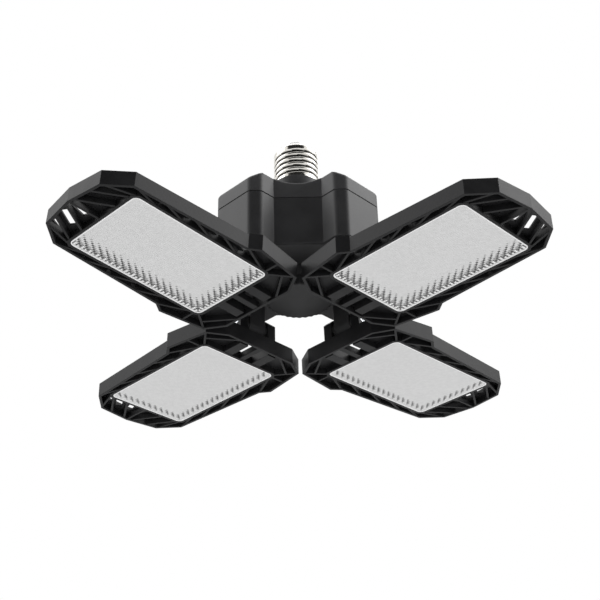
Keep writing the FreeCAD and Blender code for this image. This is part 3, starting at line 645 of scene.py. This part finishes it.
def box_plan():
    """Outline of the box, counter-clockwise from the root of the first arm."""
    side = ARM_END - ARM_CHAMFER
    flat = ARM_HALF - ARM_CHAMFER
    root, crease, shoulder = (Vector((x, -ARM_HALF)) for x in (ARM_ROOT, SLOPE_START, side))
    corner, tip = Vector((ARM_END, -flat)), Vector((ARM_END, 0))
    arm = [root] + fill_in(root, crease, SIDE_POINTS) + [crease, shoulder]
    arm += [corner] + fill_in(corner, tip, END_POINTS)
    arm += [tip] + [Vector((p.x, -p.y)) for p in reversed(arm)]
    plan = []
    for azimuth, _ in LEAVES.values():
        turned = [Matrix.Rotation(math.radians(azimuth), 2) @ p for p in arm]
        if plan:
            plan += fill_in(plan[-1], turned[0], FACE_POINTS)
        plan += turned
    return plan + fill_in(plan[-1], plan[0], FACE_POINTS)


PLAN = box_plan()
print("points in the plan:", len(PLAN))

# %% [markdown]
# ## The housing
# The lower half of the box is one moulding with a floor. Its walls stop short of the cap, which
# leaves the thin dark line round the middle of the box. A lip stands behind that line.

# %% Make the housing
EDGE = 1.2
LIP_INSET = 1.2
SEAM_GAP, SEAM_BEVEL = 0.4, 0.2
housing = bmesh.new()
rings = [(amount, UNDERSIDE + EDGE - rise) for amount, rise in reversed(quarter(EDGE))]
rim = SEAM - SEAM_GAP
rings += [(0.0, rim - SEAM_BEVEL), (SEAM_BEVEL, rim), (LIP_INSET, rim), (LIP_INSET, LIP_TOP),
          (WALL, LIP_TOP), (WALL, UNDERSIDE + FLOOR_THICK)]
loft(housing, [at_height(soften(PLAN, amount), z) for amount, z in rings])
print("housing:", len(rings), "rings")

# %% [markdown]
# A short tongue hangs from the floor under each arm and ends in a round knuckle. The bolt of a
# leaf goes through it, in a bore that the lugs hide, so none is drawn.

# %% Add the tongues
KNUCKLE, TONGUE_HALF = 5.8, 5.8
UPRIGHT = Matrix.Rotation(math.radians(90), 4, "X")


def knuckle_outline(top):
    """Side view of a tongue: straight above the hinge, round below it."""
    arc = [math.pi + math.pi * i / 16 for i in range(17)]
    round_end = [Vector((PIVOT.x + KNUCKLE * math.cos(t), PIVOT.z + KNUCKLE * math.sin(t)))
                 for t in arc]
    return round_end + [Vector((PIVOT.x + KNUCKLE, top)), Vector((PIVOT.x - KNUCKLE, top))]


tongue_top = UNDERSIDE + FLOOR_THICK / 2 - LENS_PLANE
for azimuth, _ in LEAVES.values():
    place = Matrix.Rotation(math.radians(azimuth), 4, "Z") @ Matrix.Translation((0, 0, LENS_PLANE))
    soft_prism(housing, knuckle_outline(tongue_top), -TONGUE_HALF, TONGUE_HALF, edge=0.6,
               corner=0.05, place=place @ UPRIGHT)
make_piece("moulded_housing", housing, [abs_black], "lamp_body",
           ["driver_housing"])

# %% [markdown]
# ## The cap and the neck
# The upper half is a second moulding. Its roof slopes down at the ends of the arms, and between
# two arms it is scooped out, so that in the photograph a crescent of the neck shows above its
# front edge. The roof is a net of points between the edge and the foot of the neck, and one
# function says how high it is anywhere. The neck grows out of it in a hollow curve.

# %% Shape of the roof
SCOOP_HALF, SCOOP_DEPTH = 12.3, 3.3
SCOOP_RADIUS = (SCOOP_HALF ** 2 + SCOOP_DEPTH ** 2) / (2 * SCOOP_DEPTH)
NECK_FOOT, NECK_RADIUS, NECK_FLARE = 21.0, 14.8, 7.0
NECK_HOLLOW = 2.2           # power of the curve between roof and neck
ROOF_RINGS, NECK_RINGS = 12, 10
EDGE_STEP = 0.975           # how far in the first ring of points on the roof lies


def roof_height(x, y):
    """Height of the roof, with a slope at each arm's end and a scoop between the arms."""
    along = max(abs(x + y), abs(x - y)) / math.sqrt(2)
    slope = ROOF - max(along - SLOPE_START, 0.0) * SLOPE_DROP / SLOPE_RUN
    across = min(abs(x), abs(y))
    if across >= SCOOP_HALF:
        return slope
    scoop = SCOOP_RADIUS - math.sqrt(SCOOP_RADIUS ** 2 - across ** 2) - SCOOP_DEPTH
    return min(slope, ROOF + scoop)


def on_roof(points, drop=0.0):
    """An outline laid on the roof, or lower by a drop."""
    return [Vector((p.x, p.y, roof_height(p.x, p.y) - drop)) for p in points]


def to_crease(point):
    """A step inwards from the edge: onto the start of the slope, or a little way in."""
    along = max(abs(point.x + point.y), abs(point.x - point.y)) / math.sqrt(2)
    return point * min(SLOPE_START / along, EDGE_STEP)


print("bottom of a scoop at", round(roof_height(0.0, FACE_DISTANCE), 2))

# %% [markdown]
# The stack of rings starts at the ceiling inside the cap, comes down the inner wall, turns round
# the rim and climbs outside to the roof's rounded edge and the foot of the neck.

# %% Make the cap
CAP_CEILING = ROOF - 5.8    # leaves a wall under the slopes, which drop by 4 mm
CAP_EDGE = 2.0
REBATE, REBATE_TOP = 1.1, LIP_TOP + 0.1
cap = bmesh.new()
stack = [at_height(soften(PLAN, amount), z)
         for amount, z in [(WALL, CAP_CEILING), (WALL, REBATE_TOP), (REBATE, REBATE_TOP),
                           (REBATE, SEAM), (SEAM_BEVEL, SEAM), (0.0, SEAM + SEAM_BEVEL)]]
stack += [on_roof(soften(PLAN, amount), CAP_EDGE - rise) for amount, rise in quarter(CAP_EDGE)]
inner_edge = [to_crease(p) for p in soften(PLAN, CAP_EDGE)]
foot = [p.normalized() * NECK_FOOT for p in inner_edge]
stack += [on_roof([a.lerp(b, i / ROOF_RINGS) for a, b in zip(inner_edge, foot)])
          for i in range(ROOF_RINGS + 1)]
print("cap without its neck:", len(stack), "rings")

# %% [markdown]
# Above the roof each ring blends from the height of the roof to one level ring. The neck ends in
# a rounded rim, from which a thinner spigot reaches up into the screw shell.

# %% Add the neck
NECK_RIM, SPIGOT_RADIUS, SPIGOT_HEIGHT = 0.5, 11.4, 9.0
for i in range(1, NECK_RINGS + 1):
    share = i / NECK_RINGS
    radius = NECK_RADIUS + (NECK_FOOT - NECK_RADIUS) * (1 - share) ** NECK_HOLLOW
    stack.append([Vector((*(p.normalized() * radius),
                          roof_height(p.x, p.y) * (1 - share) + (ROOF + NECK_FLARE) * share))
                  for p in foot])
for radius, height in [(NECK_RADIUS, -NECK_RIM),
                       (NECK_RADIUS - 0.3 * NECK_RIM, -0.3 * NECK_RIM),
                       (NECK_RADIUS - NECK_RIM, 0.0), (SPIGOT_RADIUS, 0.0),
                       (SPIGOT_RADIUS, SPIGOT_HEIGHT)]:
    stack.append([Vector((*(p.normalized() * radius), SHELL_LOW + height)) for p in foot])
loft(cap, stack)
make_piece("moulded_cap_and_neck", cap, [abs_cap_painted_light], "lamp_body", ["top_cap"])

# %% [markdown]
# ## The screw shell
# A lamp base of this size has a round thread, rolled into thin sheet, with a pitch of 3.63 mm.
# Seen from above a right-handed thread climbs as it runs counter-clockwise, so a point's place
# in the wave is its height less its share of a turn. Rolled sheet has the same wave inside.

# %% Make the screw shell
PITCH, THREAD_DEPTH, SHEET = 3.63, 0.7, 0.45
THREAD_START, THREAD_END = 1.6, 21.6
FADE_IN, FADE_OUT = 1.6, 1.2
ROOT_POWER = 1.5            # above 1 the crests are broader than the roots
SHOULDER = 23.0
GLASS_FOOT = 9.6
SHELL_POINTS, SHELL_RINGS = 128, 72


def thread_radius(height, turn):
    """Radius of the shell at a height and at a share of a turn."""
    wave = 0.5 - 0.5 * math.cos(2 * math.pi * (height / PITCH - turn))
    fade = min(max((height - THREAD_START) / FADE_IN, 0.0), 1.0)
    fade *= min(max((THREAD_END - height) / FADE_OUT, 0.0), 1.0)
    return SHELL_RADIUS - THREAD_DEPTH * (wave ** ROOT_POWER) * fade


def shell_ring(height, less=0.0):
    """Ring of the threaded sheet, or of its inside, at a height above its lower rim."""
    ring = []
    for i in range(SHELL_POINTS):
        turn = i / SHELL_POINTS
        radius = thread_radius(height, turn) - less
        ring.append(Vector((radius * math.cos(2 * math.pi * turn),
                            radius * math.sin(2 * math.pi * turn), SHELL_LOW + height)))
    return ring


heights = [SHOULDER * i / SHELL_RINGS for i in range(SHELL_RINGS + 1)]
outside = [shell_ring(z) for z in heights]
inside = [shell_ring(z, SHEET) for z in heights]
# radius and height of the rounded shoulder that closes on the glass
shoulder = [(SHELL_RADIUS - 0.25, 23.5), (SHELL_RADIUS - 0.9, 24.2), (11.4, 25.2), (10.4, 25.9),
            (GLASS_FOOT, 26.4)]
shell = bmesh.new()
rings = outside + [circle(r, SHELL_LOW + z, SHELL_POINTS) for r, z in shoulder]
rings += [circle(r - SHEET, SHELL_LOW + z - SHEET, SHELL_POINTS) for r, z in reversed(shoulder)]
loft(shell, rings + inside[::-1], endless=True)
print("faces of the shell:", len(shell.faces))

# %% [markdown]
# The faces in the deeper part of the wave take the painted shade.

# %% Paint shade into the roots
SHADE_FROM = 0.57            # share of the thread's depth
SHADE_START = 1.0            # height above the lower rim
shaded_radii = SHELL_RADIUS - THREAD_DEPTH - 0.1, SHELL_RADIUS - SHADE_FROM * THREAD_DEPTH
for face in shell.faces:
    middle = face.calc_center_median()
    threaded = SHADE_START <= middle.z - SHELL_LOW <= SHOULDER
    if threaded and shaded_radii[0] < middle.xy.length < shaded_radii[1]:
        face.material_index = 1
make_piece("rolled_screw_shell", shell, [nickel_plate, nickel_painted_root_shade], "lamp_body",
           ["screw_shell"])

# %% [markdown]
# ## Glass and tip
# The pressed glass bulges a little between the shell and the tip. The solder on the tip has
# run into a low dome.

# %% Make the insulator and the tip
GLASS_LOW = span("base_insulator")[0].z
GLASS_RISE = GLASS_TOP - GLASS_LOW
# radius of the glass and share of its height
GLASS_CURVE = [(GLASS_FOOT, 0.0), (9.2, 0.2), (8.5, 0.45), (7.5, 0.7), (6.5, 0.9), (5.4, 1.0)]
glass = bmesh.new()
lathe(glass, [(r, GLASS_LOW + share * GLASS_RISE) for r, share in GLASS_CURVE])
make_piece("pressed_glass_cone", glass, [opal_glass], "lamp_body",
           ["base_insulator"])
TIP_RADIUS, TIP_RINGS = 4.8, 8
TIP_POWER = 0.8             # below 1 the dome is fuller than a round one
turns = [math.pi / 2 * i / TIP_RINGS for i in range(TIP_RINGS)]
tip = bmesh.new()
lathe(tip, [(TIP_RADIUS * math.cos(t) ** TIP_POWER,
             GLASS_TOP + (TIP_TOP - GLASS_TOP) * math.sin(t)) for t in turns], 48)
make_piece("solder_tip", tip, [tin_solder], "lamp_body", ["centre_contact"])

# %% [markdown]
# ## The hub cap
# A round cover hides the screws under the middle of the box. Its rim is slightly wavy for
# fingers, and its lower edge is well rounded.

# %% Make the hub cap
hub_low, hub_high = span("hub_cap")
HUB_RADIUS, GRIPS, GRIP_DEPTH, HUB_EDGE = 18.5, 32, 0.6, 1.0
HUB_CROWN = 2.4             # the photograph shows the cap this much thicker
HUB_BEVEL = 0.3


def hub_ring(less, height, count=256):
    """Wavy ring of the hub cap, moved inwards by less."""
    ring = []
    for i in range(count):
        turn = 2 * math.pi * i / count
        radius = HUB_RADIUS - GRIP_DEPTH * (0.5 - 0.5 * math.cos(GRIPS * turn)) - less
        ring.append(Vector((radius * math.cos(turn), radius * math.sin(turn), height)))
    return ring


hub = bmesh.new()
rings = [hub_ring(amount, hub_low.z - HUB_CROWN + HUB_EDGE - rise)
         for amount, rise in reversed(quarter(HUB_EDGE, 5))]
rings += [hub_ring(0.0, hub_high.z - HUB_BEVEL), hub_ring(HUB_BEVEL, hub_high.z)]
loft(hub, rings)
make_piece("scalloped_hub_cap", hub, [abs_hub_painted_shade], "lamp_body", ["hub_cap"])

# %% [markdown]
# ## Screws in the roof
# Four pan-head screws with a cross recess hold the two halves together. A Boolean could cut the
# cross, but a ring of points can be a circle outside and a cross inside, as long as both have the
# same number of points, and that keeps the mesh closed.

# %% Make the roof screws
SCREW_REACH, HEAD_RADIUS, SHANK_RADIUS = 38.0, 2.9, 1.5
CROSS_HALF, CROSS_REACH, CROSS_DEPTH = 0.42, 1.55, 1.1
CROSS_TAPER = 0.85          # size of the recess at its bottom
# radius of the head and height above the roof
HEAD_CURVE = [(HEAD_RADIUS, 0.0), (HEAD_RADIUS, 0.8), (2.75, 1.4), (2.4, 1.85),
              (1.9, SCREW_HEAD)]


def cross_radius(turn):
    """Distance from the middle to the edge of a cross, in one direction."""
    c, s = max(abs(math.cos(turn)), 1e-6), max(abs(math.sin(turn)), 1e-6)
    return max(min(CROSS_REACH / c, CROSS_HALF / s), min(CROSS_REACH / s, CROSS_HALF / c))


def pan_head(mesh, x, y, seat, shank_end):
    """Screw with its head upwards, from the end of its shank to the bottom of its recess."""
    count = 64
    profile = [(SHANK_RADIUS, shank_end), (SHANK_RADIUS, seat)]
    profile += [(r, seat + height) for r, height in HEAD_CURVE]
    rings = [circle(r, z, count, x, y) for r, z in profile]
    turns = [2 * math.pi * i / count for i in range(count)]
    head_top = seat + SCREW_HEAD
    for scale, height in [(1.0, head_top), (CROSS_TAPER, head_top - CROSS_DEPTH)]:
        rings.append([Vector((x + scale * cross_radius(t) * math.cos(t),
                              y + scale * cross_radius(t) * math.sin(t), height)) for t in turns])
    loft(mesh, rings)


SCREW_END = span("housing_screws")[0].z
screws = bmesh.new()
for azimuth, _ in LEAVES.values():
    turn = math.radians(azimuth)
    pan_head(screws, SCREW_REACH * math.cos(turn), SCREW_REACH * math.sin(turn), ROOF, SCREW_END)
make_piece("pan_head_screws", screws, [zinc_steel], "lamp_body",
           ["housing_screws"])

# %% [markdown]
# ## The lenses
# A lens has a smooth border and, inside it, a field of shallow pyramids that spread the light of
# the LEDs. Along one long side and one end of each lens the dark wall of the frame shows through
# the pyramids, as dashes 4.5 mm apart over small dark and white diamonds. That is painted: the
# sides of those pyramids get the darker shades of the plastic as a painted reflection of the wall,
# and the white diamonds are painted light.

# %% Sizes of the lenses
LENS_IN, LENS_LENGTH, LENS_WIDTH = 48.4, 84.3, 53.1
LENS_CORNER, LENS_THICK = 3.2, 1.5
LENS_EDGE, LENS_EDGE_MIDDLE = 0.25, 0.08
BORDER, STEP_UP = 0.6, 0.3
FIELD_INSET, PRISM, PRISM_DEPTH = 1.1, 1.125, 0.22
FIELD_BACK = 0.9            # height of the hidden back of the prism sheet
print("prisms in a lens:", round((LENS_LENGTH - 2 * FIELD_INSET) / PRISM), "by",
      round((LENS_WIDTH - 2 * FIELD_INSET) / PRISM))

# %% [markdown]
# The marks are a painted reflection of the dark wall; they run from corner to corner of the
# pyramids. How much further a pyramid is from the end than from the side puts it in one of four
# lanes, and each lane has its own list of painted shades, which starts at the dark wall. A picture
# could draw the marks too, but this needs none.

# %% Shades of the prisms
# the long side and the end of each lens behind which the photograph shows the dark wall, and
# whether it shows strongly
DARK_WALLS = {"rear_right": (1, 1, False), "rear_left": (-1, 1, False),
              "front_left": (-1, -1, True), "front_right": (1, -1, True)}
WHITE, PLAIN, DIM, DARK = range(4)  # places of the shades in a lens's list of materials
LANES = 4                   # prisms between two dashes
# for each lane: painted shades of the sides that face the middle and the wall, by row from the wall
STRONG_PAINTED_MARKS = {0: [(DARK, WHITE)] + 6 * [(DARK, DARK)] + [(DIM, DIM), (DIM, PLAIN)],
                1: [(WHITE, DARK), (DARK, WHITE), (DIM, PLAIN)],
                2: [(DARK, WHITE), (WHITE, DARK), (DARK, WHITE), (DIM, PLAIN)],
                3: [(WHITE, DARK), (DARK, WHITE)] + 3 * [(DIM, DIM)] + [(DIM, PLAIN)]}
SOFT_PAINTED_MARKS = {0: [(PLAIN, PLAIN), (DIM, DIM)] + 2 * [(DARK, DARK)] + [(DARK, DIM), (DIM, PLAIN)],
              3: 2 * [(PLAIN, PLAIN)] + [(DIM, PLAIN), (DIM, DIM), (DIM, PLAIN)]}


def prism_shades(from_side, from_end, strong):
    """Painted shades of a pyramid: dashes of painted reflection cross the pyramids from corner to
    corner, one in each lane.
    """
    rows = (STRONG_PAINTED_MARKS if strong else SOFT_PAINTED_MARKS).get((from_end - from_side) % LANES, [])
    row = min(from_side, from_end)
    return rows[row] if row < len(rows) else (PLAIN, PLAIN)


print("shades in the corner:", prism_shades(0, 0, True))

# %% [markdown]
# The sheet of pyramids has a valley at every crossing of its grid and a peak in the middle of
# every cell, downwards. A rim and a flat back close it.

# %% Helper for the sheet of prisms


def add_prisms(mesh, low, high, wall_side, wall_end, strong):
    """A closed sheet with pyramids on its lower side, between two corners of the field.

    The walls whose reflection is painted on it are on one long side, +1 or -1, and at one end, +1
    or -1; strong says how dark they are painted.
    """
    columns = round((high.x - low.x) / PRISM)
    rows = round((high.y - low.y) / PRISM)
    step = Vector(((high.x - low.x) / columns, (high.y - low.y) / rows))

    def corner(i, j, z):
        return mesh.verts.new((low.x + i * step.x, low.y + j * step.y, z))

    valley = [[corner(i, j, STEP_UP) for j in range(rows + 1)] for i in range(columns + 1)]
    peak = [[corner(i + 0.5, j + 0.5, STEP_UP - PRISM_DEPTH) for j in range(rows)]
            for i in range(columns)]
    for i in range(columns):
        for j in range(rows):
            a, b = valley[i][j], valley[i + 1][j]
            c, d = valley[i + 1][j + 1], valley[i][j + 1]
            from_side = rows - 1 - j if wall_side > 0 else j
            from_end = columns - 1 - i if wall_end > 0 else i
            to_middle, to_wall = prism_shades(from_side, from_end, strong)
            ways = [((a, b), -1, 0), ((b, c), 0, 1), ((c, d), 1, 0), ((d, a), 0, -1)]
            for (p, q), side, end in ways:
                face = mesh.faces.new((q, p, peak[i][j]))
                walled = side == wall_side or end == wall_end
                face.material_index = to_wall if walled else to_middle
    rim = [valley[i][0] for i in range(columns + 1)] + valley[columns][1:]
    rim += [valley[i][rows] for i in range(columns - 1, -1, -1)]
    rim += [valley[0][j] for j in range(rows - 1, 0, -1)]
    back = [mesh.verts.new((v.co.x, v.co.y, FIELD_BACK)) for v in rim]
    for i in range(len(rim)):
        j = (i + 1) % len(rim)
        mesh.faces.new((rim[i], rim[j], back[j], back[i])).material_index = PLAIN
    mesh.faces.new(back).material_index = PLAIN


print("depth to width of a prism:", round(PRISM_DEPTH / PRISM, 2))

# %% [markdown]
# Border and field are one piece. The border's rings leave a shallow step, and the sheet of
# prisms lies in that step.

# %% Make the lenses


def make_lens(leaf):
    """Border and prisms of one lens. Even shading is for large faces, so it is taken off."""
    low, high = Vector((LENS_IN, -LENS_WIDTH / 2)), Vector((LENS_IN + LENS_LENGTH, LENS_WIDTH / 2))
    outline = [Vector((low.x, low.y)), Vector((high.x, low.y)), Vector((high.x, high.y)),
               Vector((low.x, high.y))]
    lens = bmesh.new()
    rings = [(0.0, LENS_THICK), (0.0, LENS_EDGE), (LENS_EDGE_MIDDLE, LENS_EDGE_MIDDLE),
             (LENS_EDGE, 0.0), (BORDER, 0.0), (BORDER + 0.1, STEP_UP)]
    loft(lens, [at_height(soften(outline, amount, LENS_CORNER, steps=8), z)
                for amount, z in rings])
    lens.faces.ensure_lookup_table()
    lens.faces[-1].material_index = PLAIN
    inset = Vector((FIELD_INSET, FIELD_INSET))
    add_prisms(lens, low + inset, high - inset, *DARK_WALLS[leaf])
    piece = make_piece("prism_lens_" + leaf, lens, [lens_border, lens_field, lens_painted_dim, lens_painted_dark],
                       leaf + "_leaf", [node_of(leaf, "diffuser")],
                       leaf_place(leaf))
    piece.modifiers.clear()


for leaf in LEAVES:
    make_lens(leaf)

# %% [markdown]
# ## Hinges
# Each leaf turns on a bolt through its two lugs and the tongue between them. Washers of black
# acetal rub on both sides of the tongue, which holds a leaf at the angle it is set to.

# %% Sizes and rings of a hinge
BOLT_RADIUS, HEAD_HALF, HEAD_THICK = 2.5, 3.9, 2.8
BOLT_PLAY, BOLT_BITE = 0.03, 0.5    # looseness of the shank and its reach into the head
HINGE_END = 13.4            # outer face of a lug, from the middle of the hinge
NUT_FACE = 0.4              # how far the nut's flat face lies behind its dome
# radius of the nut's dome and depth behind its end
NUT_DOME = [(2.9, 0.8), (2.8, 0.25), (2.3, 0.0)]
WASHER_RADIUS, WASHER_START, WASHER_END = 5.4, 5.9, 7.4
WASHER_PLAY, WASHER_BEVEL = 0.05, 0.2


def hexagon(half):
    """Six corners round the hinge axis in side view, from the distance to a flat."""
    reach = half / math.cos(math.pi / 6)
    turns = [math.pi / 3 * (i + 0.5) for i in range(6)]
    return [Vector((PIVOT.x + reach * math.cos(t), PIVOT.z + reach * math.sin(t)))
            for t in turns]


def hinge_rings(profile, count=64):
    """Rings round the hinge axis from radius and distance along it."""
    return [[UPRIGHT @ Vector((PIVOT.x + p.x, PIVOT.z + p.y, z)) for p in circle(r, 0, count)]
            for r, z in profile]


print("a hinge is", 2 * HINGE_END, "mm wide")

# %% [markdown]
# The head and the nut are short hexagonal prisms with soft edges. The nut ends in a dome, as a
# closed nut does, and the shank is drawn up to the nut.

# %% Make bolts, nuts and washers


def make_hinge(leaf):
    """Bolt, nut and washers of one leaf."""
    body, place = leaf + "_leaf", leaf_place(leaf)
    bolt = bmesh.new()
    soft_prism(bolt, hexagon(HEAD_HALF), -HINGE_END, HEAD_THICK - HINGE_END, edge=0.35,
               place=UPRIGHT)
    loft(bolt, hinge_rings([(BOLT_RADIUS - BOLT_PLAY, HEAD_THICK - HINGE_END - BOLT_BITE),
                            (BOLT_RADIUS - BOLT_PLAY, HINGE_END - HEAD_THICK)]))
    make_piece("hex_bolt_" + leaf, bolt, [zinc_steel], body,
               [node_of(leaf, "hinge_bolt")], place)
    nut = bmesh.new()
    soft_prism(nut, hexagon(HEAD_HALF), HINGE_END - HEAD_THICK, HINGE_END - NUT_FACE,
               place=UPRIGHT)
    loft(nut, hinge_rings([(r, HINGE_END - behind) for r, behind in NUT_DOME]))
    make_piece("closed_nut_" + leaf, nut, [zinc_steel], body,
               [node_of(leaf, "hinge_nut")], place)
    washers = bmesh.new()
    hole, face_radius = BOLT_RADIUS + WASHER_PLAY, WASHER_RADIUS - WASHER_BEVEL
    profile = [(hole, WASHER_START), (face_radius, WASHER_START),
               (WASHER_RADIUS, WASHER_START + WASHER_BEVEL),
               (WASHER_RADIUS, WASHER_END - WASHER_BEVEL), (face_radius, WASHER_END),
               (hole, WASHER_END)]
    for side in (1, -1):
        loft(washers, hinge_rings([(r, side * v) for r, v in profile]), endless=True)
    make_piece("acetal_washers_" + leaf, washers, [black_acetal], body,
               [node_of(leaf, "friction_washers")], place)


for leaf in LEAVES:
    make_hinge(leaf)

# %% [markdown]
# ## The floor
# A sheet of pale studio paper lies far below the hanging lamp. It throws light up into the
# lenses and carries the lamp's soft shadow. Paper is matt, with a faint mottle of about 20 mm.

# %% Lay the floor
FLOOR_HEIGHT, FLOOR_REACH = -0.85, 3.0  # in metres
studio_paper, nodes, shader, place = new_finish("studio_paper", 0.9, IOR=1.45)
mottle = cloudy(nodes, place, 20.0)
wire(nodes, shader, Base_Color=between(nodes, mottle, "#EFEFEF", "#F2F2F2"))
paper = bmesh.new()
bmesh.ops.create_grid(paper, x_segments=8, y_segments=8, size=FLOOR_REACH,
                      matrix=Matrix.Translation((0, 0, FLOOR_HEIGHT)))
floor_data = bpy.data.meshes.new("floor")
paper.to_mesh(floor_data)
paper.free()
floor_data.materials.append(studio_paper)
floor = bpy.data.objects.new("floor", floor_data)
scene.collection.objects.link(floor)
